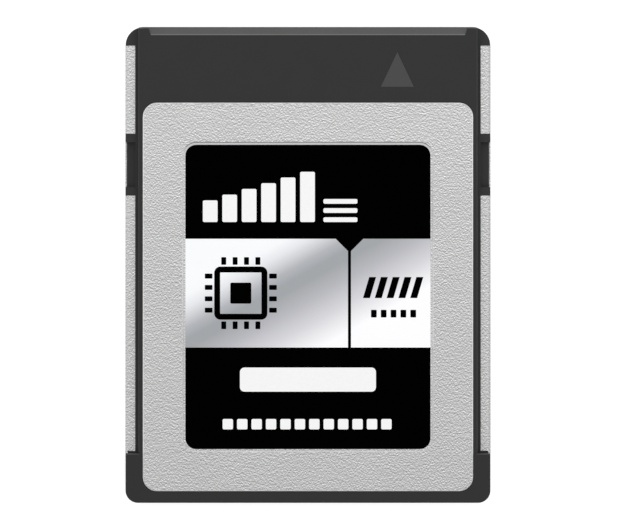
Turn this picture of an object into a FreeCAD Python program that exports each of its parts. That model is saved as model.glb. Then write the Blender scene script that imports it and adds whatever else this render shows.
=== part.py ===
import FreeCAD
import Part
import math
import os

# Memory card with a stepped plastic frame, two stamped steel covers, a label, a spring
# contact connector in its front end and a populated circuit board inside.
# Millimetres. X is the width, Y the length with the connector end at +Y, Z the thickness.
# The origin is the centre of the footprint, on the plane that the back lies on.

# Whole card
card_length = 38.5
card_width = 29.6
card_thickness = 3.8
front_corner_radius = 1.45
rear_corner_radius = 1.0

# Sheet steel of both covers, and how far the covers stand proud of the frame
sheet = 0.2
cover_proud = 0.1
cover_gap = 0.05

# Side rails: a low step along each side, wrapped by the folded bottom cover
rail_height = 2.4
rail_width = 1.1
wrap_from_front = 1.5
flange_width = 0.815
wrap_bend_radius = 0.3
side_setback = 0.04
rear_block_length = 4.0
rear_block_gap = 0.19

# Latch notch in each rail
notch_from_front = 8.62
notch_length = 5.02
notch_wall = 0.69
notch_floor_height = 1.7
notch_sheet_height = 1.0
notch_lip_setback = 0.13

# Top cover, the rim of the frame around it, and its field for the label
rim_width = 0.345
top_front_margin = 6.13
top_rear_margin = 0.955
top_corner_radius = 1.15
top_edge_chamfer = 0.06
label_end_margin = 3.4
label_side_margin = 3.445
label_corner_radius = 0.87
label_thickness = 0.1
field_margin = 0.16
field_depth = 0.15
field_shoulder = 0.08
adhesive_thickness = 0.05
adhesive_inset = 0.1

# Frame
rim_rounding = 0.13
foot_chamfer = 0.1
seat_side_width = 0.605
seat_rear_width = 0.695
seat_front_width = 0.72
cavity_corner_radius = 0.6
shelf_width = 0.75
shelf_height = 1.25
bevel_depth = 0.66
bevel_drop = 0.4
bevel_edge_width = 0.075
bevel_edge_drop = 0.0225
bevel_end_land = 0.767
bevel_end_slant = 0.23

# Connector block in the mouth of the frame
mouth_end_wall = 0.85
mouth_floor = 0.6
mouth_roof = 0.7
housing_side_gap = 0.05
housing_setback = 0.3
ear_length = 0.45
web_length = 1.15
slot_end_wall = 1.3
slot_roof = 0.35
slot_over_contact = 0.2
lead_in = 0.18
groove_width = 0.56
groove_under_contact = 0.22
groove_land = 0.4

# Spring contacts
contact_count = 20
contact_row_inset = 1.1
contact_width = 0.4
contact_thickness = 0.13
contact_tail = 1.0
contact_free_run = 0.26
contact_rise_radius = 2.0
contact_crown_radius = 0.45
contact_crown_lift = 0.3
contact_crown_from_mouth = 1.6
contact_tip_from_mouth = 0.85
contact_tip_lift = 0.05

# Circuit board and the two pegs that place it
board_thickness = 0.6
board_side_gap = 0.2
board_rear_gap = 0.3
board_corner_radius = 0.5
board_to_web = 0.55
peg_radius = 0.5
peg_height = 0.9
peg_gap = 0.05
peg_from_side = 3.4
peg_inset = 0.85

# Parts on the board, and the gap between neighbours
part_spacing = 0.6
controller_size = 10.0
controller_inset = 0.9
nand_width = 18.0
power_size = 4.0
power_height = 0.75
inductor_length = 2.5
inductor_width = 2.0
inductor_count = 3
inductor_pitch = 2.9
inductor_inset = 1.7
inductor_headroom = 0.55
crystal_length = 2.5
crystal_width = 2.0
crystal_height = 0.6
fuse_length = 1.6
fuse_width = 0.8
fuse_height = 0.6
capacitor_length = 0.5
capacitor_width = 1.0
capacitor_height = 0.5
capacitor_count = 8
capacitor_row_inset = 4.15
bulk_length = 1.6
bulk_width = 0.8
bulk_height = 0.8
bulk_count = 4
bulk_row_inset = 5.0

# Heat pads and film
controller_pad_thickness = 0.7
nand_pad_thickness = 0.75
lower_pad_thickness = 0.2
pad_inset = 0.75
film_thickness = 0.05
film_gap = 0.2

# How far a cut runs past the surface it opens, and how close counts as the same place
overshoot = 1.0
tolerance = 1e-6

# Outline of the frame, the rails and the covers, worked out from the sizes above
half_length = card_length / 2
half_width = card_width / 2
frame_half = half_width - side_setback
frame_bottom = cover_proud
frame_top = card_thickness - cover_proud
raised_half = half_width - rail_width
block_front = rear_block_length - half_length
wrap_front = half_length - wrap_from_front
flange_rear = block_front + rear_block_gap
flange_inner = half_width - flange_width
notch_front = half_length - notch_from_front
notch_rear = notch_front - notch_length
top_front = half_length - top_front_margin
top_rear = top_rear_margin - half_length
top_half = raised_half - rim_width
top_under = card_thickness - sheet
seat_level = top_under - adhesive_thickness
field_level = card_thickness - field_depth
shoulder_level = card_thickness - field_shoulder
field_under = field_level - sheet

# Cavity, mouth and slot
cavity_half = top_half - seat_side_width
cavity_rear = top_rear + seat_rear_width
cavity_front = top_front - seat_front_width
mouth_half = cavity_half - mouth_end_wall
mouth_top = frame_top - mouth_roof
housing_front = half_length - housing_setback
housing_half = mouth_half - housing_side_gap
web_front = cavity_front + web_length
web_rear = cavity_front - ear_length
slot_half = mouth_half - slot_end_wall
slot_bottom = shelf_height + slot_over_contact
slot_top = mouth_top - slot_roof
contact_level = shelf_height - contact_thickness / 2
groove_bottom = shelf_height - contact_thickness - groove_under_contact

# Board and the places of its parts, from the front and from the rear towards the flash chips
board_half = cavity_half - board_side_gap
board_front = web_rear - board_to_web
board_rear = cavity_rear + board_rear_gap
board_top = shelf_height + board_thickness
peg_x = cavity_half - peg_from_side
peg_y = board_rear + peg_inset
lower_rear = peg_y + peg_inset
capacitor_y = board_front - part_spacing - capacitor_width / 2
controller_front = capacitor_y - capacitor_width / 2 - part_spacing
controller_x = controller_inset + controller_size / 2 - board_half
controller_y = controller_front - controller_size / 2
controller_height = field_under - board_top - controller_pad_thickness
inductor_x = board_half - inductor_inset - inductor_length / 2
inductor_height = top_under - board_top - inductor_headroom
power_x = inductor_x - inductor_length / 2 - part_spacing - power_size / 2
bulk_y = lower_rear + part_spacing + bulk_width / 2
nand_front = controller_front - controller_size - part_spacing
nand_rear = bulk_y + bulk_width / 2 + part_spacing
nand_length = nand_front - nand_rear
nand_y = (nand_front + nand_rear) / 2
upper_nand_height = field_under - board_top - nand_pad_thickness
lower_nand_height = shelf_height - sheet - lower_pad_thickness


def box(x0, x1, y0, y1, z0, z1):
    return Part.makeBox(x1 - x0, y1 - y0, z1 - z0, FreeCAD.Vector(x0, y0, z0))


def block(x, y, length, width, z0, z1):
    return box(x - length / 2, x + length / 2, y - width / 2, y + width / 2, z0, z1)


def both_sides(shape):
    return shape.fuse(shape.mirror(FreeCAD.Vector(0, 0, 0), FreeCAD.Vector(1, 0, 0)))


# Flat face inside a loop of points, each corner rounded by its own radius, 0 for a sharp one.
def rounded_face(points, radii):
    starts, ends, edges = [], [], []
    for index, corner in enumerate(points):
        back = (points[index - 1] - corner).normalize()
        ahead = (points[(index + 1) % len(points)] - corner).normalize()
        half_angle = back.getAngle(ahead) / 2
        reach = radii[index] / math.tan(half_angle)
        starts.append(corner + back * reach)
        ends.append(corner + ahead * reach)
        if radii[index]:
            to_arc = radii[index] / math.sin(half_angle) - radii[index]
            middle = corner + (back + ahead).normalize() * to_arc
            edges.append(Part.Arc(starts[index], middle, ends[index]).toShape())
    for index, end in enumerate(ends):
        edges.append(Part.LineSegment(end, starts[(index + 1) % len(starts)]).toShape())
    return Part.Face(Part.Wire(Part.__sortEdges__(edges)))


# Plate between two levels, symmetrical about X = 0, with rounded corners.
def plate(half, rear, front, z0, z1, front_radius, rear_radius):
    corners = [(half, rear), (half, front), (-half, front), (-half, rear)]
    points = [FreeCAD.Vector(x, y, z0) for x, y in corners]
    outline = rounded_face(points, [rear_radius, front_radius, front_radius, rear_radius])
    return outline.extrude(FreeCAD.Vector(0, 0, z1 - z0))


# Bar along Y with the given section, from one end to the other.
def bar(corners, radii, rear, front):
    points = [FreeCAD.Vector(x, rear, z) for x, z in corners]
    return rounded_face(points, radii).extrude(FreeCAD.Vector(0, front - rear, 0))


def edges_at_level(shape, level):
    return [edge for edge in shape.Edges
            if all(abs(corner.Z - level) < tolerance for corner in edge.Vertexes)]


# One side of the folded cover: floor, upright wall and flange over the rail.
def wrap_side():
    outer, inner = half_width, half_width - sheet
    high, low = rail_height, rail_height - sheet
    corners = [(0, 0), (outer, 0), (outer, high), (flange_inner, high),
               (flange_inner, low), (inner, low), (inner, sheet), (0, sheet)]
    outer_bend, inner_bend = wrap_bend_radius, wrap_bend_radius - sheet
    radii = [0, outer_bend, outer_bend, 0, 0, inner_bend, inner_bend, 0]
    return bar(corners, radii, block_front, wrap_front)


# The bottom cover's plate reaches back between the rear corners and leaves the front band free.
def rear_tongue(z0, z1, gap):
    radius = top_corner_radius + gap
    return plate(top_half + gap, top_rear - gap, block_front + gap, z0, z1, 0, radius)


def front_window(z0, z1, gap):
    radius = top_corner_radius - gap
    return plate(top_half - gap, top_front + gap, half_length, z0, z1, 0, radius)


def bottom_cover():
    cover = both_sides(wrap_side()).removeSplitter()
    cover = cover.cut(front_window(-overshoot, overshoot, 0))
    cover = cover.fuse(rear_tongue(0, sheet, 0)).removeSplitter()
    clear = raised_half
    notch = box(clear, half_width + overshoot, notch_rear, notch_front, notch_sheet_height, card_thickness)
    slit = box(clear, half_width - sheet, block_front - overshoot, flange_rear, sheet, card_thickness)
    return cover.cut(both_sides(notch.fuse(slit)))


# Space beside the raised part that the folded cover and the latch notch take. A strip of plastic
# fills the groove inside the flange, and another the gap behind its rear end.
def rail_space():
    beyond, above = half_width + overshoot, rail_height + overshoot
    outer = half_width - sheet
    rounding = wrap_bend_radius - sheet + cover_gap
    corners = [(0, sheet), (outer, sheet), (outer, rail_height - sheet), (0, rail_height - sheet)]
    rail = bar(corners, [0, rounding, rounding, 0], block_front - overshoot, wrap_front + overshoot)
    strip = box(0, flange_inner - cover_gap, block_front, wrap_front, sheet, rail_height)
    end = box(0, outer, block_front, flange_rear - cover_gap, sheet, rail_height)
    around = box(raised_half, beyond, block_front, wrap_front, -overshoot, above).cut([rail, strip, end])
    latch_block = box(raised_half, frame_half, notch_rear, notch_front, notch_sheet_height, rail_height)
    rear, front = notch_rear + notch_wall, notch_front - notch_wall
    pocket = box(flange_inner, beyond, rear, front, notch_floor_height, above)
    lip = box(half_width - notch_lip_setback, beyond, rear, front, notch_sheet_height, above)
    return around.cut(latch_block).fuse([pocket, lip])


# Wedge that bevels the front edge of the raised part in two slopes, the ends slanting outwards.
def front_bevel():
    front_reach = raised_half - bevel_end_land
    slant = bevel_end_slant / bevel_depth
    beyond = front_reach + slant * overshoot
    edge_inset = bevel_depth - bevel_edge_width
    wires = []
    for inset, drop in ((0, bevel_drop), (edge_inset, bevel_edge_drop), (bevel_depth, 0)):
        x, y, level = front_reach - slant * inset, half_length - inset, frame_top - drop
        corners = [(-x, y), (x, y), (beyond, half_length + overshoot), (-beyond, half_length + overshoot)]
        points = [FreeCAD.Vector(x, y, level) for x, y in corners]
        wires.append(Part.makePolygon(points + points[:1]))
    return Part.makeLoft(wires, True, True)


def frame_blank():
    blank = plate(frame_half, -half_length, half_length, frame_bottom, frame_top,
                  front_corner_radius, rear_corner_radius)
    step = box(raised_half, half_width + overshoot, block_front, half_length + overshoot,
               rail_height, card_thickness)
    blank = blank.cut(both_sides(step))
    blank = blank.makeFillet(rim_rounding, edges_at_level(blank, frame_top))
    return blank.makeChamfer(foot_chamfer, edges_at_level(blank, frame_bottom))


# Seats of both covers, the cavity above and below the board's shelf, and the connector's mouth.
def frame_openings():
    radius = top_corner_radius + cover_gap
    top_seat = plate(top_half + cover_gap, top_rear - cover_gap, top_front + cover_gap,
                     seat_level, card_thickness, radius, radius)
    floor_seat = box(-half_width, half_width, block_front, wrap_front, 0, sheet)
    floor_seat = floor_seat.cut(front_window(0, sheet, cover_gap)).fuse(rear_tongue(0, sheet, cover_gap))
    upper = plate(cavity_half, cavity_rear, cavity_front, shelf_height, card_thickness,
                  cavity_corner_radius, cavity_corner_radius)
    lower = plate(cavity_half - shelf_width, lower_rear, cavity_front, 0, shelf_height,
                  cavity_corner_radius, cavity_corner_radius)
    mouth = box(-mouth_half, mouth_half, cavity_front - overshoot, half_length + overshoot,
                mouth_floor, mouth_top)
    return [top_seat, floor_seat, upper, lower, mouth]


def peg(x, radius, z0, z1):
    return Part.makeCylinder(radius, z1 - z0, FreeCAD.Vector(x, peg_y, z0))


def frame():
    body = frame_blank().cut(both_sides(rail_space())).cut(front_bevel())
    for opening in frame_openings():
        body = body.cut(opening)
    for x in (-peg_x, peg_x):
        body = body.fuse(peg(x, peg_radius, shelf_height - sheet, shelf_height + peg_height))
    return body.removeSplitter()


def label_plate(margin, z0, z1):
    inset = label_end_margin - margin
    half = top_half - label_side_margin + margin
    radius = label_corner_radius + margin
    return plate(half, top_rear + inset, top_front - inset, z0, z1, radius, radius)


# Stamped plate: the field for the label is pressed down, so it stands out on the underside,
# and its edge is a small slope.
def top_cover():
    cover = plate(top_half, top_rear, top_front, top_under, card_thickness,
                  top_corner_radius, top_corner_radius)
    cover = cover.makeChamfer(top_edge_chamfer, edges_at_level(cover, card_thickness))
    pressed = label_plate(field_margin + sheet, field_under, top_under)
    field = label_plate(field_margin, field_level, card_thickness)
    shoulder = label_plate(field_margin + field_shoulder, shoulder_level, card_thickness + overshoot)
    shoulder = shoulder.makeChamfer(field_shoulder, edges_at_level(shoulder, shoulder_level))
    return cover.fuse(pressed).removeSplitter().cut([field, shoulder])


def label():
    return label_plate(0, field_level, field_level + label_thickness)


def cover_adhesive():
    outer = plate(top_half - adhesive_inset, top_rear + adhesive_inset, top_front - adhesive_inset,
                  seat_level, top_under, top_corner_radius, top_corner_radius)
    inner = plate(cavity_half + adhesive_inset, cavity_rear - adhesive_inset, cavity_front + adhesive_inset,
                  seat_level, top_under, cavity_corner_radius, cavity_corner_radius)
    return outer.cut(inner)


# Evenly spaced places across the card, the outer two as far from the middle as half.
def row(count, half):
    return [half * (2 * index / (count - 1) - 1) for index in range(count)]


# Slot with its lead-in: the opening widens all round towards the front.
def slot():
    opening = box(-slot_half, slot_half, web_front, housing_front, slot_bottom, slot_top)
    wires = []
    for y, grown in ((housing_front - lead_in, 0), (housing_front, lead_in)):
        reach, low, high = slot_half + grown, slot_bottom - grown, slot_top + grown
        corners = [(-reach, low), (reach, low), (reach, high), (-reach, high), (-reach, low)]
        wires.append(Part.makePolygon([FreeCAD.Vector(x, y, z) for x, z in corners]))
    return opening.fuse(Part.makeLoft(wires, True, True))


def connector_housing():
    body = box(-housing_half, housing_half, web_rear, housing_front, mouth_floor, mouth_top)
    ear_reach = cavity_half - cavity_corner_radius
    ears = box(-ear_reach, ear_reach, web_rear, cavity_front, shelf_height, mouth_top)
    body = body.fuse(ears).removeSplitter().cut(slot())
    for x in row(contact_count, slot_half - contact_row_inset):
        groove = box(x - groove_width / 2, x + groove_width / 2, web_front, housing_front - groove_land,
                     groove_bottom, slot_bottom)
        hole = box(x - contact_width / 2, x + contact_width / 2, web_rear, web_front,
                   shelf_height - contact_thickness, shelf_height)
        body = body.cut([groove, hole])
    return body


# Outline of a strip of even thickness that follows a line in a plane of constant X.
def strip_face(points, radii, thickness):
    left, right = [], []
    for index, corner in enumerate(points):
        ahead = points[min(index + 1, len(points) - 1)] - corner
        back = corner - points[max(index - 1, 0)]
        ahead, back = (ahead if ahead.Length else back), (back if back.Length else ahead)
        ahead, back = ahead.normalize(), back.normalize()
        across = FreeCAD.Vector(0, -ahead.z - back.z, ahead.y + back.y).normalize()
        reach = thickness / 2 / across.dot(FreeCAD.Vector(0, -ahead.z, ahead.y))
        bends_left = back.y * ahead.z > back.z * ahead.y
        widened = thickness / 2 if radii[index] else 0
        widened = -widened if bends_left else widened
        left.append((corner + across * reach, radii[index] + widened))
        right.append((corner - across * reach, radii[index] - widened))
    loop = left + right[::-1]
    return rounded_face([point for point, radius in loop], [radius for point, radius in loop])


# Spring contact: tail under the board's edge, straight run through the web, rising beam,
# rounded crown and a tip that dips back into its groove.
def contact(x):
    path = [
        (board_front - contact_tail, contact_level, 0),
        (web_front + contact_free_run, contact_level, contact_rise_radius),
        (housing_front - contact_crown_from_mouth, slot_bottom + contact_crown_lift, contact_crown_radius),
        (housing_front - contact_tip_from_mouth, contact_level + contact_tip_lift, 0),
    ]
    points = [FreeCAD.Vector(x - contact_width / 2, y, z) for y, z, radius in path]
    outline = strip_face(points, [radius for y, z, radius in path], contact_thickness)
    return outline.extrude(FreeCAD.Vector(contact_width, 0, 0))


def circuit_board():
    board = plate(board_half, board_rear, board_front, shelf_height, board_top,
                  board_corner_radius, board_corner_radius)
    return board.cut([peg(x, peg_radius + peg_gap, shelf_height, board_top) for x in (-peg_x, peg_x)])


def on_board(x, y, length, width, height):
    return block(x, y, length, width, board_top, board_top + height)


def chips():
    return {
        "controller_chip": on_board(controller_x, controller_y, controller_size, controller_size,
                                    controller_height),
        "upper_nand_chip": on_board(0, nand_y, nand_width, nand_length, upper_nand_height),
        "lower_nand_chip": block(0, nand_y, nand_width, nand_length, shelf_height - lower_nand_height,
                                 shelf_height),
        "power_chip": on_board(power_x, controller_front - power_size / 2, power_size, power_size,
                               power_height),
    }


# Crystal and fuse stand in line behind the power chip.
def crystal_and_fuse():
    crystal_y = controller_front - power_size - part_spacing - crystal_width / 2
    fuse_y = crystal_y - crystal_width / 2 - part_spacing - fuse_width / 2
    return {
        "crystal": on_board(power_x, crystal_y, crystal_length, crystal_width, crystal_height),
        "fuse": on_board(power_x, fuse_y, fuse_length, fuse_width, fuse_height),
    }


def inductors_and_capacitors():
    parts = {}
    for index in range(inductor_count):
        y = controller_front - inductor_width / 2 - index * inductor_pitch
        name = "inductor_%d" % (index + 1)
        parts[name] = on_board(inductor_x, y, inductor_length, inductor_width, inductor_height)
    for index, x in enumerate(row(capacitor_count, board_half - capacitor_row_inset)):
        name = "capacitor_%d" % (index + 1)
        parts[name] = on_board(x, capacitor_y, capacitor_length, capacitor_width, capacitor_height)
    for index, x in enumerate(row(bulk_count, board_half - bulk_row_inset)):
        name = "bulk_capacitor_%d" % (index + 1)
        parts[name] = on_board(x, bulk_y, bulk_length, bulk_width, bulk_height)
    return parts


def heat_pads():
    size = controller_size - 2 * pad_inset
    width, length = nand_width - 2 * pad_inset, nand_length - 2 * pad_inset
    return {
        "controller_thermal_pad": block(controller_x, controller_y, size, size,
                                        board_top + controller_height, field_under),
        "nand_thermal_pad": block(0, nand_y, width, length, board_top + upper_nand_height, field_under),
        "lower_thermal_pad": block(0, nand_y, width, length, sheet, sheet + lower_pad_thickness),
    }


def insulating_film():
    half = cavity_half - shelf_width - film_gap
    film_top = sheet + film_thickness
    film = plate(half, lower_rear + film_gap, cavity_front - film_gap, sheet, film_top,
                 cavity_corner_radius, cavity_corner_radius)
    margin = 2 * (film_gap - pad_inset)
    return film.cut(block(0, nand_y, nand_width + margin, nand_length + margin, sheet, film_top))


def pieces():
    found = {
        "frame": frame(),
        "top_cover": top_cover(),
        "bottom_cover": bottom_cover(),
        "label": label(),
        "cover_adhesive": cover_adhesive(),
        "connector_housing": connector_housing(),
        "circuit_board": circuit_board(),
        "insulating_film": insulating_film(),
    }
    for index, x in enumerate(row(contact_count, slot_half - contact_row_inset)):
        found["contact_%02d" % (index + 1)] = contact(x)
    for group in (chips(), crystal_and_fuse(), inductors_and_capacitors(), heat_pads()):
        found.update(group)
    return found


os.makedirs("parts", exist_ok=True)
for name, shape in pieces().items():
    shape.exportStep("parts/%s.step" % name)
    print(name, "solids", len(shape.Solids), "volume", round(shape.Volume, 4), "valid", shape.isValid())
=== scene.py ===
import bmesh
import bpy
import math
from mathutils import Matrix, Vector


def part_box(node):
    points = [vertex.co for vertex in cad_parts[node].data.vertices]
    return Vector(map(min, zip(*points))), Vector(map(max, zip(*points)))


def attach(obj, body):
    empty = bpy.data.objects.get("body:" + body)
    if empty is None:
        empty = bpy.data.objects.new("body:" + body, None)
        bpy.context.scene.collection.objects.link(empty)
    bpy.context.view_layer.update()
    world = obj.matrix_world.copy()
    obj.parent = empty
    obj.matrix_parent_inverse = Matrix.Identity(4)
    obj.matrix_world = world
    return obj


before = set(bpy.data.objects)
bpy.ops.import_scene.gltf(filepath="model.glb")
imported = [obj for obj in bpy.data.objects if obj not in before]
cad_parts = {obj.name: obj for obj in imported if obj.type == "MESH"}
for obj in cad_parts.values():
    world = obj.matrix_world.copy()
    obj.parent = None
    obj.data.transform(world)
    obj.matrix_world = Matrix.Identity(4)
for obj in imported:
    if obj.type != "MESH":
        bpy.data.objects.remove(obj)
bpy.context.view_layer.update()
millimetre = 0.001
print("frame loaded")


# Lowest and highest corners of a CAD node
def inMillimetres(node):
    return [Vector(corner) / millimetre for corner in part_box(node)]


# Camera, straight above the card
camera = {
    "middle": (0.045, -0.006),      # mm
    "outlineHeight": 2.3,           # mm, level of the card's outline
    "distance": 1200.0,             # mm, from that level
    "frameWidth": 49.96,            # mm, what the photograph's frame holds at that level
    "sensor": 36.0,
}


def placeCamera():
    made = bpy.data.objects.new("camera", bpy.data.cameras.new("camera"))
    made.data.sensor_width = camera["sensor"]
    made.data.lens = camera["sensor"] * camera["distance"] / camera["frameWidth"]
    x, y = camera["middle"]
    made.location = Vector((x, y, camera["outlineHeight"] + camera["distance"])) * millimetre
    bpy.context.collection.objects.link(made)
    bpy.context.scene.camera = made


placeCamera()
bpy.context.scene.view_settings.view_transform = "Standard"
print("camera placed")


# A socket's value. A Python expression on it adds the Math nodes.
class Signal:
    def __init__(self, shading, socket):
        self.shading = shading
        self.socket = socket

    def maths(self, operation, *others):
        values = dict(enumerate((self,) + others))
        return self.shading.node("ShaderNodeMath", {"operation": operation}, values)

    def __add__(self, other):
        return self.maths("ADD", other)

    def __sub__(self, other):
        return self.maths("SUBTRACT", other)

    def __mul__(self, other):
        return self.maths("MULTIPLY", other)

    def __truediv__(self, other):
        return self.maths("DIVIDE", other)

    def __neg__(self):
        return self * -1.0

    def __rsub__(self, other):
        return -self + other

    def __abs__(self):
        return self.maths("ABSOLUTE")

    __radd__ = __add__
    __rmul__ = __mul__

    def sine(self):
        return self.maths("SINE")

    # 0 before the first value, 1 past the second, smooth between them
    def between(self, low, high):
        values = {"Value": self, "From Min": low, "From Max": high}
        return self.shading.node("ShaderNodeMapRange", {"interpolation_type": "SMOOTHSTEP"}, values)

    # Spreads a value that goes from 0 to 1 around a middle
    def around(self, middle, spread):
        return self * spread + (middle - spread / 2)


# The shader nodes of a material or of the world
class Shading:
    def __init__(self, owner):
        owner.use_nodes = True
        self.tree = owner.node_tree

    # Makes a node: its settings first, then the value or the link of each input
    def node(self, kind, settings=None, values=None, output=0):
        made = self.tree.nodes.new(kind)
        for setting, value in (settings or {}).items():
            if setting == "stops":
                self.fillRamp(made.color_ramp, value)
            else:
                setattr(made, setting, value)
        for name, value in (values or {}).items():
            self.join(value, made.inputs[name])
        return Signal(self, made.outputs[output])

    def join(self, value, socket):
        if isinstance(value, Signal):
            self.tree.links.new(value.socket, socket)
        else:
            socket.default_value = value

    def fillRamp(self, ramp, stops):
        while len(ramp.elements) < len(stops):
            ramp.elements.new(0.5)
        for element, (position, tone) in zip(ramp.elements, stops):
            element.position = position
            element.color = colour(tone)

    # 1 for what the camera and the reflections see, 0 for the light that falls on things
    def seen(self):
        direct, glossy, through = [self.node("ShaderNodeLightPath", output="Is %s Ray" % kind)
                                   for kind in ("Camera", "Glossy", "Transmission")]
        return direct.maths("MAXIMUM", glossy).maths("MAXIMUM", through)


# A material being made. Constant values are set on the shader's own sockets.
class Finish(Shading):
    def __init__(self, name, **constants):
        self.material = bpy.data.materials.new(name)
        super().__init__(self.material)
        self.shader = self.tree.nodes["Principled BSDF"]
        for socket, value in constants.items():
            self.give(socket.replace("_", " "), value)

    def give(self, name, value):
        self.join(value, self.shader.inputs[name])

    # Object coordinates in millimetres from a middle, turned about Z, and stretched along the axes
    def coordinates(self, middle=(0, 0, 0), turn=0.0, stretch=(1, 1, 1)):
        place = self.node("ShaderNodeTexCoord", output="Object")
        values = {0: place, "Scale": 1 / millimetre}
        scaled = self.node("ShaderNodeVectorMath", {"operation": "SCALE"}, values)
        moved = self.node("ShaderNodeVectorMath", {"operation": "SUBTRACT"}, {0: scaled, 1: middle})
        return self.node("ShaderNodeMapping", {"vector_type": "POINT"},
                         {"Vector": moved, "Rotation": (0, 0, turn), "Scale": stretch})

    def axes(self, vector):
        return [self.node("ShaderNodeSeparateXYZ", None, {"Vector": vector}, axis)
                for axis in ("X", "Y", "Z")]

    # How far the surface faces along X, Y and Z, from -1 to 1
    def facing(self):
        return self.axes(self.node("ShaderNodeTexCoord", output="Normal"))

    def noise(self, place, scale, detail=2.0, distortion=0.0):
        values = {"Vector": place, "Scale": scale, "Detail": detail, "Roughness": 0.5,
                  "Distortion": distortion}
        return self.node("ShaderNodeTexNoise", {"noise_dimensions": "3D"}, values)

    def blend(self, amount, first, second):
        settings = {"data_type": "RGBA", "blend_type": "MIX"}
        values = {0: amount, 6: colour(first), 7: colour(second)}
        return self.node("ShaderNodeMix", settings, values, output=2)

    # A tone that goes down to a share of itself where the pattern is 0
    def mottled(self, pattern, tone, share):
        return self.blend(pattern, [part * share for part in tone], tone)

    def bump(self, height, distance):
        values = {"Height": height, "Distance": distance * millimetre, "Strength": 1.0}
        self.give("Normal", self.node("ShaderNodeBump", None, values))


# A tone or three shares of light as a socket's colour
def colour(value):
    if isinstance(value, Signal):
        return value
    if isinstance(value, (int, float)):
        value = (value, value, value)
    return (*value, 1.0)


def dress(nodes, finish):
    for name in nodes:
        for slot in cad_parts[name].material_slots:
            slot.material = finish.material


# World, lamps and floor. White is what the camera and the reflections see. The lamps and a softer
# white light the card.
studio = {
    "surroundings": 0.79,           # strength of the light that falls on things
    "keyPlace": (12, 165, 150),     # mm
    "keySize": 260,                 # mm
    "keyPower": 0.11,               # W
    "fillPlace": (150, -220, 260),
    "fillSize": 200,
    "fillPower": 0.08,
    "floorColour": 0.8,
    "floorRoughness": 0.9,
    "floorGlow": 0.6,               # for the camera and the reflections only
    "floorSize": 3000,              # mm
    "floorDrop": 0.02,              # mm below the card
}


def makeWorld():
    world = bpy.data.worlds.new("surroundings")
    sky = Shading(world)
    background = sky.tree.nodes["Background"]
    background.inputs["Color"].default_value = colour(1.0)
    soft = studio["surroundings"]
    sky.join(sky.seen() * (1.0 - soft) + soft, background.inputs["Strength"])
    bpy.context.scene.world = world


def makeLamp(name, place, size, power):
    lamp = bpy.data.lights.new(name, "AREA")
    lamp.shape = "DISK"
    lamp.size = size * millimetre
    lamp.energy = power
    made = bpy.data.objects.new(name, lamp)
    made.location = Vector(place) * millimetre
    made.rotation_euler = made.location.to_track_quat("Z", "Y").to_euler()
    bpy.context.collection.objects.link(made)


def makeFloor():
    mesh = bmesh.new()
    bmesh.ops.create_grid(mesh, x_segments=1, y_segments=1, size=studio["floorSize"] / 2 * millimetre)
    bmesh.ops.translate(mesh, verts=mesh.verts, vec=(0, 0, -studio["floorDrop"] * millimetre))
    floor = bpy.data.objects.new("floor", bpy.data.meshes.new("floor"))
    mesh.to_mesh(floor.data)
    mesh.free()
    bpy.context.collection.objects.link(floor)
    finish = Finish("floorPaper", Specular_IOR_Level=0.0, Emission_Strength=1.0)
    finish.give("Roughness", studio["floorRoughness"])
    finish.give("Base Color", colour(studio["floorColour"]))
    finish.give("Emission Color", finish.seen() * studio["floorGlow"])
    floor.data.materials.append(finish.material)


makeWorld()
makeLamp("keyLamp", studio["keyPlace"], studio["keySize"], studio["keyPower"])
makeLamp("fillLamp", studio["fillPlace"], studio["fillSize"], studio["fillPower"])
makeFloor()
print("studio lit")


# Stamped steel with a fine orange-peel grain, with painted light and shade on its ridges, slopes and
# folded sides
steel = {
    "tone": 0.507,
    "paintedFalloff": 0.0036,            # painted light: how much paler each millimetre towards the front is
    "ridges": 8.5,              # per mm
    "squeeze": 1.1,             # of the ridges along the width
    "twist": 0.25,
    "relief": 0.022,            # mm
    "reach": 0.035,             # mm, over which a ridge's painted lit side is told from its painted shaded one
    # painted light and shade: how strongly a ridge's side facing the front is painted paler and the
    # other side darker
    "litSides": 0.98,
    "clouds": 0.35,             # per mm
    "cloudTone": 0.06,
    "cloudRoughness": 0.12,
    "roughness": 0.4,
    "slope": (0.95, 0.8),       # how far up a face looks from where it counts as a slope
    "steep": (0.3, 0.5),        # and until where
    "turned": (0.2, 0.6),       # how far along an axis a slope looks to face that way
    "rim": 0.66,                # painted highlight: how much brighter the slopes around the label and the plate are
    "rimRear": -0.95,           # painted shade: what is added to that where one faces the rear
    "rearFrom": (-30, 4),       # mm along the card, over which that grows
    "rimOuter": -0.14,          # what is added along the plate's long sides
    "outer": (-1.35, -0.85),    # mm from the plate's side edge, where they start
    "sunk": 0.1,                # painted light against the shade there: how much brighter the floor of the label's field is
    "sunkBelow": (-0.05, -0.1), # mm from the plate's top, where that floor starts
    "sunkAbove": (-0.4, -0.3),  # and where it ends
    "smooth": (-0.82, -0.22),   # mm from the label's front edge, over which its grain runs out
    "sides": 0.06,              # painted light against the raised part's shade: how much brighter the folded sides are
    "folded": (0.15, 0.25),     # mm from the plate's side edge, where they start
    "bendShade": (-0.1, -0.24),      # painted shade: how much brighter their bends are, left and right, both below 0 and so darker
    "bendFaces": (-0.1, 0.1),
}
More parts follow.
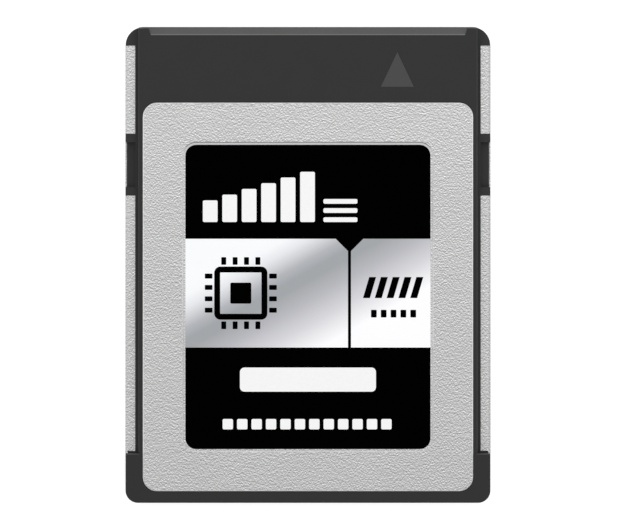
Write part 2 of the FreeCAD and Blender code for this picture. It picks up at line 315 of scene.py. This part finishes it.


# Painted light and shade: how much brighter or darker each place of the steel is, and how much of the
# grain it has
def steelPlaces(finish):
    plate, label = inMillimetres("top_cover")[1], inMillimetres("label")[1]
    x, y, z = finish.axes(finish.coordinates())
    across, forwards, up = finish.facing()
    beside, below = abs(x) - plate.x, z - plate.z
    folded = beside.between(*steel["folded"])
    slope = up.between(*steel["slope"])
    # Painted highlights on the slopes around the label and the plate, with painted shade where they
    # face the rear
    rim = slope * up.between(*steel["steep"]) * (1.0 - folded)
    rear = (-forwards).between(*steel["turned"]) * y.between(*steel["rearFrom"])
    outer = abs(across).between(*steel["turned"]) * beside.between(*steel["outer"])
    left, right = steel["bendShade"]
    # Painted shade on the bends of the folded sides, darker on the right
    bendShade = slope * folded * (across.between(*steel["bendFaces"]) * (right - left) + left)
    sunk = below.between(*steel["sunkBelow"]) * below.between(*steel["sunkAbove"]) * (1.0 - folded)
    smooth = sunk * (y - label.y).between(*steel["smooth"])
    rimHighlights = rim * (rear * steel["rimRear"] + outer * steel["rimOuter"] + steel["rim"])
    # Painted light and shade, added up: highlights on the slopes, shade on the bends, light on the
    # field's floor and on the folded sides
    brighter = rimHighlights + bendShade + sunk * steel["sunk"] + folded * steel["sides"]
    return brighter, (1.0 - rim) * (1.0 - smooth)


def steelFinish(name):
    finish = Finish(name, Metallic=1.0)

    def ridges(shift):
        place = finish.coordinates(middle=(0, shift, 0), stretch=(steel["squeeze"], 1, 1))
        return finish.noise(place, steel["ridges"], detail=1.0, distortion=steel["twist"])

    brighter, grained = steelPlaces(finish)
    # Painted light and shade on the grain: the side of each ridge facing the front paler, the other
    # side darker
    lit = ridges(steel["reach"]) - ridges(-steel["reach"])
    cloud = finish.noise(finish.coordinates(), steel["clouds"])
    # Painted light: paler towards the front, as the lamp's light falls off
    paintedFalloff = finish.axes(finish.coordinates())[1] * steel["paintedFalloff"] + 1.0
    face = lit * grained * steel["litSides"] + 1.0
    tone = face * face * cloud.around(1.0, steel["cloudTone"]) * (brighter + 1.0)
    finish.give("Base Color", tone * paintedFalloff * steel["tone"])
    finish.give("Roughness", cloud.around(steel["roughness"], steel["cloudRoughness"]))
    finish.bump((ridges(0) - 0.5) * grained, steel["relief"])
    return finish


dress(["top_cover", "bottom_cover"], steelFinish("stampedSteel"))


# Moulded plastic of the frame: satin black with a fine spark-eroded grain, and painted light on it
shell = {
    "tone": 0.0149,
    "paintedFalloff": 0.005,                             # painted light: how much paler each millimetre towards the front is
    "bevel": 0.062,                             # painted highlight: how much paler the front bevel is
    "bevelFaces": ((0.4, 0.5), (0.6, 0.75)),    # how far it looks forwards and up
    "ridge": 0.135,                             # painted highlight: how much paler the narrow slope at its upper edge is
    "ridgeFaces": ((0.2, 0.28), (0.85, 0.93)),
    "ridgeFrom": (-1.25, -0.95),                # mm from the front edge
    "low": 0.0085,                              # painted light against the raised part's shade: how much paler the level tops of the rails and the notches are
    "lowFaces": (0.7, 0.9),
    "lowFrom": (0.4, 0.1),                      # mm above the top of the folded sides
    "roughness": 0.45,
    "shine": 0.28,
    "grain": 9.0,                               # per mm
    "grainTone": 0.3,
    "grainRoughness": 0.1,
    "patches": 0.5,                             # per mm
    "patchTone": 0.2,
    "patchRoughness": 0.06,
    "relief": 0.004,                            # mm
}


# Painted light: how much paler than the plain plastic each place of the frame is
def shellPlaces(finish, y, z):
    forwards, up = finish.facing()[1:]
    front, sides = inMillimetres("frame")[1].y, inMillimetres("bottom_cover")[1].z

    def slope(ahead, above):
        return forwards.between(*ahead) * up.between(*above)

    # Painted highlights on the front bevel and on the narrow slope at its upper edge
    bevel = slope(*shell["bevelFaces"])
    ridge = slope(*shell["ridgeFaces"]) * (y - front).between(*shell["ridgeFrom"])
    # Painted light on the low level tops, against the shade of the raised part
    low = (z - sides).between(*shell["lowFrom"]) * up.between(*shell["lowFaces"])
    return bevel * shell["bevel"] + ridge * shell["ridge"] + low * shell["low"]


def shellFinish(name):
    finish = Finish(name, Specular_IOR_Level=shell["shine"])
    place = finish.coordinates()
    grain = finish.noise(place, shell["grain"], detail=3)
    patch = finish.noise(place, shell["patches"])
    y, z = finish.axes(place)[1:]
    # Painted light: the places above, and paler towards the front
    tone = shellPlaces(finish, y, z) + (y * shell["paintedFalloff"] + 1.0) * shell["tone"]
    mottle = grain.around(1.0, shell["grainTone"]) + patch.around(0.0, shell["patchTone"])
    finish.give("Base Color", mottle * tone)
    roughness = grain.around(shell["roughness"], shell["grainRoughness"])
    finish.give("Roughness", roughness + patch.around(0.0, shell["patchRoughness"]))
    finish.bump(grain, shell["relief"])
    return finish


dress(["frame"], shellFinish("framePlastic"))


# Foil of the label, with a painted reflection: a soft dark streak runs across it, bright to both sides
foil = {
    "middle": (-0.65, -1.22, 0),    # mm, on the streak
    "turn": 29.2,                   # degrees from the width
    "reach": (-4.0, 6.0),           # mm across the streak, below and above
    "stops": [
        (0.0, (0.92, 0.928, 0.945)),
        (0.06, (0.905, 0.913, 0.932)),
        (0.15, (0.775, 0.782, 0.81)),
        (0.29, (0.445, 0.457, 0.483)),
        (0.37, (0.359, 0.374, 0.392)),
        (0.44, (0.36, 0.372, 0.391)),
        (0.59, (0.479, 0.481, 0.512)),
        (0.75, (0.657, 0.656, 0.687)),
        (0.96, (0.955, 0.952, 0.967)),
    ],
    "roughness": 0.32,
    "grain": 12.0,                  # per mm
    "grainRoughness": 0.06,
    "grainStretch": (1, 0.2, 1),
}


def foilFinish(name):
    finish = Finish(name, Metallic=1.0)
    across = finish.axes(finish.coordinates(foil["middle"], -math.radians(foil["turn"])))[1]
    low, high = foil["reach"]
    share = (-across - low) / (high - low)
    # Painted reflection: the dark streak and its bright sides, as a ramp across the foil
    tone = finish.node("ShaderNodeValToRGB", {"stops": foil["stops"]}, {"Fac": share})
    finish.give("Base Color", tone)
    grain = finish.noise(finish.coordinates(stretch=foil["grainStretch"]), foil["grain"])
    finish.give("Roughness", grain.around(foil["roughness"], foil["grainRoughness"]))
    return finish


dress(["label"], foilFinish("labelFoil"))
print("covers, frame and label finished")


# Everything printed is ink of this thickness, made from flat outlines.
ink = {
    "thickness": 0.01,      # mm
    "overlap": 0.002,       # mm, how far an ink goes into what it is printed on
    "corner": 0.12,         # mm
    "segments": 6,
}


class Print:
    def __init__(self, name, level):
        self.name = name
        self.mesh = bmesh.new()
        self.low = level - ink["overlap"]
        self.high = level + ink["thickness"]

    # One flat shape from its corners. A radius rounds the listed ones, or all where none is listed.
    def shape(self, corners, radius=0.0, rounded=(), segments=ink["segments"]):
        mesh = bmesh.new()
        points = [mesh.verts.new((x, y, self.low)) for x, y in corners]
        mesh.faces.new(points)
        if radius:
            self.roundOff(mesh, [points[index] for index in rounded] or points, radius, segments)
        self.add(mesh)

    def roundOff(self, mesh, points, radius, segments=ink["segments"]):
        bmesh.ops.bevel(mesh, geom=points, offset=radius, offset_type="OFFSET", affect="VERTICES",
                        segments=segments, profile=0.5, material=-1)

    def bar(self, left, right, bottom, top, radius=ink["corner"]):
        self.shape([(left, bottom), (right, bottom), (right, top), (left, top)], radius)

    # Slanted bar: its top is further right than its foot by lean
    def slant(self, left, width, bottom, top, lean):
        right = left + width
        self.shape([(left, bottom), (right, bottom), (right + lean, top), (left + lean, top)])

    # Square outline of one width all round
    def ring(self, x, y, size, width, radius):
        mesh = bmesh.new()
        bmesh.ops.create_grid(mesh, x_segments=1, y_segments=1, size=size / 2)
        bmesh.ops.translate(mesh, verts=mesh.verts, vec=(x, y, self.low))
        self.roundOff(mesh, mesh.verts[:], radius)
        whole = mesh.faces[:]
        bmesh.ops.inset_region(mesh, faces=whole, thickness=width, use_boundary=True,
                               use_even_offset=True)
        bmesh.ops.delete(mesh, geom=whole, context="FACES_ONLY")
        self.add(mesh)

    # Gives the flat faces the ink's thickness and joins them to the print
    def add(self, mesh):
        grown = bmesh.ops.extrude_face_region(mesh, geom=mesh.faces[:], use_keep_orig=True)
        raised = [part for part in grown["geom"] if isinstance(part, bmesh.types.BMVert)]
        bmesh.ops.translate(mesh, verts=raised, vec=(0, 0, self.high - self.low))
        bmesh.ops.recalc_face_normals(mesh, faces=mesh.faces[:])
        flat = bpy.data.meshes.new("flat")
        mesh.to_mesh(flat)
        mesh.free()
        self.mesh.from_mesh(flat)
        bpy.data.meshes.remove(flat)

    def finished(self, finish):
        bmesh.ops.scale(self.mesh, verts=self.mesh.verts, vec=(millimetre,) * 3)
        made = bpy.data.objects.new(self.name, bpy.data.meshes.new(self.name))
        self.mesh.to_mesh(made.data)
        self.mesh.free()
        bpy.context.collection.objects.link(made)
        made.data.materials.append(finish.material)
        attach(made, "root")


# Black fields at both ends of the label, with a pointer and a thin divider on the foil between them
fields = {
    "corner": 0.87,             # mm, as the label's own corners
    "segments": 8,
    "foil": (-6.68, 2.115),     # mm, from where to where the foil stays bare
    "pointer": (3.36, 1.115),   # mm, middle, and half of its width, which is also its depth
    "divider": 0.24,            # mm
}


def blackFields(finish):
    low, high = inMillimetres("label")
    foilLow, foilHigh = fields["foil"]
    x, reach = fields["pointer"]
    corner, segments = fields["corner"], fields["segments"]
    black = Print("labelBlackFields", high.z)
    notch = [(x - reach, foilHigh), (x, foilHigh - reach), (x + reach, foilHigh)]
    black.shape([(low.x, foilHigh), *notch, (high.x, foilHigh), (high.x, high.y), (low.x, high.y)],
                corner, (5, 6), segments)
    black.shape([(low.x, low.y), (high.x, low.y), (high.x, foilLow), (low.x, foilLow)],
                corner, (0, 1), segments)
    half = fields["divider"] / 2
    black.bar(x - half, x + half, foilLow - half, foilHigh - reach + half * 3, 0)
    black.finished(finish)


# White marks on the black fields: rising bars, three short lines, a broad bar and a row of dashes
whiteMarks = {
    "levels": {"left": -8.50, "foot": 3.47, "width": 1.19, "pitch": 1.574, "count": 6,
               "lowest": 1.75, "highest": 4.06},
    "lines": {"left": 1.25, "right": 4.0, "foot": 3.47, "thickness": 0.38, "pitch": 0.74,
              "count": 3},
    "broadBar": {"left": -5.5, "right": 5.5, "bottom": -10.25, "top": -8.30, "radius": 0.36},
    "dashes": {"left": -6.9, "foot": -13.30, "size": 0.84, "pitch": 1.166, "count": 12},
}


def whitePrint(finish):
    white = Print("labelWhiteMarks", inMillimetres("label")[1].z + ink["thickness"])
    levels = whiteMarks["levels"]
    for index in range(levels["count"]):
        left = levels["left"] + index * levels["pitch"]
        share = index / (levels["count"] - 1)
        height = levels["lowest"] + share * (levels["highest"] - levels["lowest"])
        white.bar(left, left + levels["width"], levels["foot"], levels["foot"] + height)
    lines = whiteMarks["lines"]
    for index in range(lines["count"]):
        foot = lines["foot"] + index * lines["pitch"]
        white.bar(lines["left"], lines["right"], foot, foot + lines["thickness"])
    white.bar(**whiteMarks["broadBar"])
    dashes = whiteMarks["dashes"]
    for index in range(dashes["count"]):
        left = dashes["left"] + index * dashes["pitch"]
        white.bar(left, left + dashes["size"], dashes["foot"], dashes["foot"] + dashes["size"])
    white.finished(finish)


# Black marks on the foil: the outline of a chip with its pins, and slanted bars over short dashes
foilMarks = {
    "chip": {"x": -5.43, "y": -2.28, "size": 4.3, "line": 0.48, "corner": 0.5, "core": 1.7,
             "pins": 4, "pinPitch": 0.92, "pinWidth": 0.4, "pinLength": 0.62, "pinGap": 0.14},
    "slants": {"left": 4.45, "foot": -2.68, "height": 1.7, "width": 0.56, "lean": 0.5,
               "pitch": 0.955, "count": 5},
    "dashes": {"left": 5.1, "foot": -4.25, "width": 0.46, "height": 0.62, "pitch": 0.796,
               "count": 5},
    "corner": 0.06,
}


def chipMark(black, chip):
    x, y, core = chip["x"], chip["y"], chip["core"] / 2
    black.ring(x, y, chip["size"], chip["line"], chip["corner"])
    black.bar(x - core, x + core, y - core, y + core)
    side, near = chip["pinWidth"] / 2, chip["size"] / 2 + chip["pinGap"]
    far, corner = near + chip["pinLength"], foilMarks["corner"]
    for index in range(chip["pins"]):
        along = (index - (chip["pins"] - 1) / 2) * chip["pinPitch"]
        for start, end in ((-far, -near), (near, far)):
            black.bar(x + along - side, x + along + side, y + start, y + end, corner)
            black.bar(x + start, x + end, y + along - side, y + along + side, corner)


def foilPrint(finish):
    black = Print("labelFoilMarks", inMillimetres("label")[1].z)
    chipMark(black, foilMarks["chip"])
    slants = foilMarks["slants"]
    for index in range(slants["count"]):
        black.slant(slants["left"] + index * slants["pitch"], slants["width"], slants["foot"],
                    slants["foot"] + slants["height"], slants["lean"])
    dashes = foilMarks["dashes"]
    for index in range(dashes["count"]):
        left = dashes["left"] + index * dashes["pitch"]
        black.bar(left, left + dashes["width"], dashes["foot"], dashes["foot"] + dashes["height"],
                  foilMarks["corner"])
    black.finished(finish)


# Insertion arrow: a plain triangle on the frame's front band
arrow = {
    "apex": (7.23, 17.20),      # mm
    "base": 14.41,
    "halfWidth": 1.33,
}


def makeArrow(finish):
    mark = Print("insertArrow", inMillimetres("frame")[1].z)
    x, y = arrow["apex"]
    half = arrow["halfWidth"]
    mark.shape([(x - half, arrow["base"]), (x + half, arrow["base"]), (x, y)])
    mark.finished(finish)


# The inks, and the fine mottle that all of them have
inks = {
    "blackInk": {"tone": 0.0002, "roughness": 0.38, "shine": 0.004},
    "whiteInk": {"tone": 0.97, "roughness": 0.45, "shine": 0.4},
    "arrowInk": {"tone": 0.057, "roughness": 0.5, "shine": 0.25},
    "mottle": 6.0,          # per mm
    "spread": 0.08,
    "grain": 18.0,          # per mm
    "relief": 0.001,        # mm
}


def inkFinish(name):
    chosen = inks[name]
    finish = Finish(name, Specular_IOR_Level=chosen["shine"])
    mottle = finish.noise(finish.coordinates(), inks["mottle"])
    finish.give("Base Color", mottle.around(1.0, inks["spread"]) * chosen["tone"])
    finish.give("Roughness", mottle.around(chosen["roughness"], inks["spread"]))
    finish.bump(finish.noise(finish.coordinates(), inks["grain"]), inks["relief"])
    return finish


blackInk = inkFinish("blackInk")
blackFields(blackInk)
foilPrint(blackInk)
whitePrint(inkFinish("whiteInk"))
makeArrow(inkFinish("arrowInk"))
print("label printed")


# Connector block: glass-filled plastic, a little glossier than the frame, with flow marks along it
block = {
    "tone": 0.012,
    "roughness": 0.36,
    "shine": 0.4,
    "flow": 6.0,                    # per mm
    "flowTone": 0.5,
    "flowRoughness": 0.12,
    "flowStretch": (0.15, 1, 1),
    "fibres": 22.0,                 # per mm
    "fibreTone": 0.3,
    "fibreStretch": (0.3, 1, 1),
    "relief": 0.002,                # mm
}


def blockFinish(name):
    finish = Finish(name, Specular_IOR_Level=block["shine"])
    flow = finish.noise(finish.coordinates(stretch=block["flowStretch"]), block["flow"], detail=3)
    fibres = finish.noise(finish.coordinates(stretch=block["fibreStretch"]), block["fibres"])
    mottle = flow.around(1.0, block["flowTone"]) + fibres.around(0.0, block["fibreTone"])
    finish.give("Base Color", mottle * block["tone"])
    finish.give("Roughness", flow.around(block["roughness"], block["flowRoughness"]))
    finish.bump(fibres, block["relief"])
    return finish


dress(["connector_housing"], blockFinish("connectorPlastic"))


# Spring contacts: gold on the crown and the tip, bare nickel plating behind, drawn along the strip
plating = {
    "gold": (0.95, 0.62, 0.20),
    "goldShade": 0.93,
    "nickel": (0.60, 0.57, 0.52),
    "nickelShade": 0.9,
    "goldFrom": (14.48, 14.72),     # mm along the card
    "waves": 3.0,                   # per mm, of the edge between both
    "waveDepth": 0.3,               # mm
    "drawn": 30.0,                  # per mm
    "drawnRoughness": 0.1,
    "drawnStretch": (1, 0.06, 1),
    "roughness": 0.24,
    "relief": 0.001,                # mm
}


def platingFinish(name):
    finish = Finish(name, Metallic=1.0)
    place = finish.coordinates()
    waves = finish.noise(place, plating["waves"]).around(0.0, plating["waveDepth"])
    gilded = (finish.axes(place)[1] + waves).between(*plating["goldFrom"])
    drawn = finish.noise(finish.coordinates(stretch=plating["drawnStretch"]), plating["drawn"])
    gold = finish.mottled(drawn, plating["gold"], plating["goldShade"])
    nickel = finish.mottled(drawn, plating["nickel"], plating["nickelShade"])
    finish.give("Base Color", finish.blend(gilded, nickel, gold))
    finish.give("Roughness", drawn.around(plating["roughness"], plating["drawnRoughness"]))
    finish.bump(drawn, plating["relief"])
    return finish


contacts = sorted(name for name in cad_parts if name.startswith("contact_"))
dress(contacts, platingFinish("contactPlating"))


# Circuit board: green solder mask over traces, bare laminate at the edges, gilt pads at the contacts
board = {
    "mask": (0.012, 0.10, 0.038),
    "overCopper": (0.022, 0.17, 0.062),
    "laminate": (0.42, 0.36, 0.18),
    "laminateShade": 0.8,
    "pad": (0.90, 0.66, 0.30),
    "padLength": 1.3,           # mm
    "padRear": (-0.02, 0.02),   # mm from a pad's rear end, over which it starts
    "tracePitch": 0.42,         # mm
    "traceEdge": (0.1, 0.3),    # where a trace starts, on the wave across it
    "padEdge": (0.05, 0.2),
    "run": 5.0,                 # mm, after which the traces turn back
    "step": (1.5, 3.2),         # mm of each run, between which they go slanting
    "field": (3.4, 4.6, 50),    # mm, size of the fields that have traces or none
    "bare": (0.3, 0.31),        # share of the fields that has none
    "level": (0.4, 0.6),        # how far up or down a face looks that has the mask
    "weave": 14.0,              # per mm
    "weaveRoughness": 0.08,
    "roughness": 0.3,
    "edgeRoughness": 0.45,      # what is added to that at the cut edges
    "relief": 0.02,             # mm
}


# Even lines along the card that step aside and back, in some fields of the board
def boardTraces(finish, place):
    across, along = finish.axes(place)[:2]
    start, end = board["step"]
    aside = finish.node("ShaderNodeMapRange", {"interpolation_type": "LINEAR"},
                        {"Value": along.maths("PINGPONG", board["run"]), "From Min": start,
                         "From Max": end, "To Max": end - start})
    waves = ((abs(across) + aside) * (2 * math.pi / board["tracePitch"])).sine()
    field = finish.node("ShaderNodeVectorMath", {"operation": "SNAP"}, {0: place, 1: board["field"]})
    chance = finish.node("ShaderNodeTexWhiteNoise", {"noise_dimensions": "3D"}, {"Vector": field})
    return waves.between(*board["traceEdge"]) * chance.between(*board["bare"])


# One pad for each contact, at the board's front edge
def boardPads(finish, place):
    across, along = finish.axes(place)[:2]
    first, last = inMillimetres(contacts[0]), inMillimetres(contacts[-1])
    pitch = (last[0].x - first[0].x) / (len(contacts) - 1)
    middle = (first[0].x + first[1].x) / 2
    waves = ((across - middle) * (2 * math.pi / pitch) + math.pi / 2).sine()
    inRow = (abs(across) - last[1].x).between(pitch / 3, pitch / 4)
    rear = inMillimetres("circuit_board")[1].y - board["padLength"]
    return waves.between(*board["padEdge"]) * inRow * (along - rear).between(*board["padRear"])


def boardFinish(name):
    finish = Finish(name)
    place = finish.coordinates()
    face = abs(finish.facing()[2]).between(*board["level"])
    trace = boardTraces(finish, place)
    pad = boardPads(finish, place) * face
    weave = finish.noise(place, board["weave"])
    cover = finish.blend(trace, board["mask"], board["overCopper"])
    edge = finish.mottled(weave, board["laminate"], board["laminateShade"])
    finish.give("Base Color", finish.blend(pad, finish.blend(face, edge, cover), board["pad"]))
    finish.give("Metallic", pad)
    roughness = weave.around(board["roughness"], board["weaveRoughness"])
    finish.give("Roughness", (1.0 - face) * board["edgeRoughness"] + roughness)
    finish.bump(trace + pad, board["relief"])
    return finish


dress(["circuit_board"], boardFinish("boardMask"))


# Chips: matt moulded resin with a small polished dimple at one corner of the top
resin = {
    "nodes": ("controller_chip", "upper_nand_chip", "lower_nand_chip", "power_chip"),
    "tone": 0.018,
    "roughness": 0.55,
    "grain": 16.0,                  # per mm
    "grainTone": 0.6,
    "grainRoughness": 0.12,
    "relief": 0.004,                # mm
    "dimple": (0.35, 0.29),         # mm from its middle, outer and inner edge
    "dimpleInset": 0.9,             # mm
    "dimpleTone": 1.5,              # how much paler it is
    "dimplePolish": 0.2,
    "dimpleDepth": 4.0,             # times the grain's relief
}


def resinFinish(node):
    finish = Finish(node + "Resin")
    low, high = inMillimetres(node)
    inset = resin["dimpleInset"]
    corner = finish.coordinates(middle=(low.x + inset, high.y - inset, high.z))
    away = finish.node("ShaderNodeVectorMath", {"operation": "LENGTH"}, {0: corner}, "Value")
    dimple = away.between(*resin["dimple"])
    grain = finish.noise(finish.coordinates(), resin["grain"], detail=3)
    tone = grain.around(1.0, resin["grainTone"]) * (dimple * resin["dimpleTone"] + 1.0)
    finish.give("Base Color", tone * resin["tone"])
    roughness = grain.around(resin["roughness"], resin["grainRoughness"])
    finish.give("Roughness", roughness - dimple * resin["dimplePolish"])
    finish.bump(grain - dimple * resin["dimpleDepth"], resin["relief"])
    return finish


for node in resin["nodes"]:
    dress([node], resinFinish(node))


# Small parts with tinned ends: capacitors, fuse and inductors, the ends along X (0) or Y (1)
smallParts = {
    "capacitor": {"axis": 1, "body": (0.36, 0.25, 0.15), "end": 0.25},
    "bulk_capacitor": {"axis": 0, "body": (0.30, 0.19, 0.11), "end": 0.35},
    "fuse": {"axis": 0, "body": (0.62, 0.66, 0.60), "end": 0.35},
    "inductor": {"axis": 0, "body": (0.045, 0.045, 0.05), "end": 0.45},
}
smallFinish = {
    "tin": (0.72, 0.71, 0.68),
    "edge": (0.01, 0.05),           # mm from a tinned end's start
    "waves": 0.06,                  # mm, how far it strays
    "bodyShade": 0.85,
    "speckle": 20.0,                # per mm
    "speckleRoughness": 0.15,
    "roughness": 0.375,
    "relief": 0.004,                # mm
}


def tinnedFinish(node, part):
    finish = Finish(node + "Ends")
    low, high = inMillimetres(node)
    away = abs(finish.axes(finish.coordinates(middle=tuple((low + high) / 2)))[part["axis"]])
    start = (high - low)[part["axis"]] / 2 - part["end"]
    speckle = finish.noise(finish.coordinates(), smallFinish["speckle"])
    tinned = (away + speckle * smallFinish["waves"] - start).between(*smallFinish["edge"])
    body = finish.mottled(speckle, part["body"], smallFinish["bodyShade"])
    finish.give("Base Color", finish.blend(tinned, body, smallFinish["tin"]))
    finish.give("Metallic", tinned)
    finish.give("Roughness", speckle.around(smallFinish["roughness"], smallFinish["speckleRoughness"]))
    finish.bump(speckle, smallFinish["relief"])
    return finish


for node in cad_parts:
    kind = node.rstrip("0123456789").rstrip("_")
    if kind in smallParts:
        dress([node], tinnedFinish(node, smallParts[kind]))


# Crystal: a bright brushed lid on a ceramic base
crystal = {
    "base": (0.16, 0.14, 0.12),
    "lid": ((0.62, 0.61, 0.58), (0.76, 0.75, 0.72)),
    "lidFrom": (0.2, 0.24),         # mm above the foot
    "brushed": 26.0,                # per mm
    "brushedRoughness": 0.12,
    "brushedStretch": (0.08, 1, 1),
    "roughness": 0.28,
    "relief": 0.001,                # mm
}


def crystalFinish(name):
    finish = Finish(name)
    foot = inMillimetres("crystal")[0].z
    lid = (finish.axes(finish.coordinates())[2] - foot).between(*crystal["lidFrom"])
    brushed = finish.noise(finish.coordinates(stretch=crystal["brushedStretch"]), crystal["brushed"])
    bright = finish.blend(brushed, *crystal["lid"])
    finish.give("Base Color", finish.blend(lid, crystal["base"], bright))
    finish.give("Metallic", lid)
    finish.give("Roughness", brushed.around(crystal["roughness"], crystal["brushedRoughness"]))
    finish.bump(brushed, crystal["relief"])
    return finish


dress(["crystal"], crystalFinish("crystalCan"))


# Soft sheets inside: heat pads, the insulating film and the cover's adhesive, each in a dark and a
# light tone
softSheets = {
    "heatPad": {"nodes": ["controller_thermal_pad", "nand_thermal_pad", "lower_thermal_pad"],
                "tones": ((0.36, 0.42, 0.47), (0.44, 0.50, 0.55)),
                "roughness": 0.7, "grain": 9.0, "relief": 0.01},
    "amberFilm": {"nodes": ["insulating_film"],
                  "tones": ((0.42, 0.17, 0.02), (0.52, 0.24, 0.04)),
                  "roughness": 0.25, "grain": 1.2, "relief": 0.006},
    "adhesiveTape": {"nodes": ["cover_adhesive"],
                     "tones": ((0.50, 0.49, 0.45), (0.60, 0.59, 0.55)),
                     "roughness": 0.45, "grain": 5.0, "relief": 0.006},
}
sheetGrainRoughness = 0.14


def sheetFinish(name, sheet):
    finish = Finish(name)
    grain = finish.noise(finish.coordinates(), sheet["grain"], detail=3)
    finish.give("Base Color", finish.blend(grain, *sheet["tones"]))
    finish.give("Roughness", grain.around(sheet["roughness"], sheetGrainRoughness))
    finish.bump(grain, sheet["relief"])
    return finish


for name, sheet in softSheets.items():
    dress(sheet["nodes"], sheetFinish(name, sheet))
print("connector, board and inner parts finished")
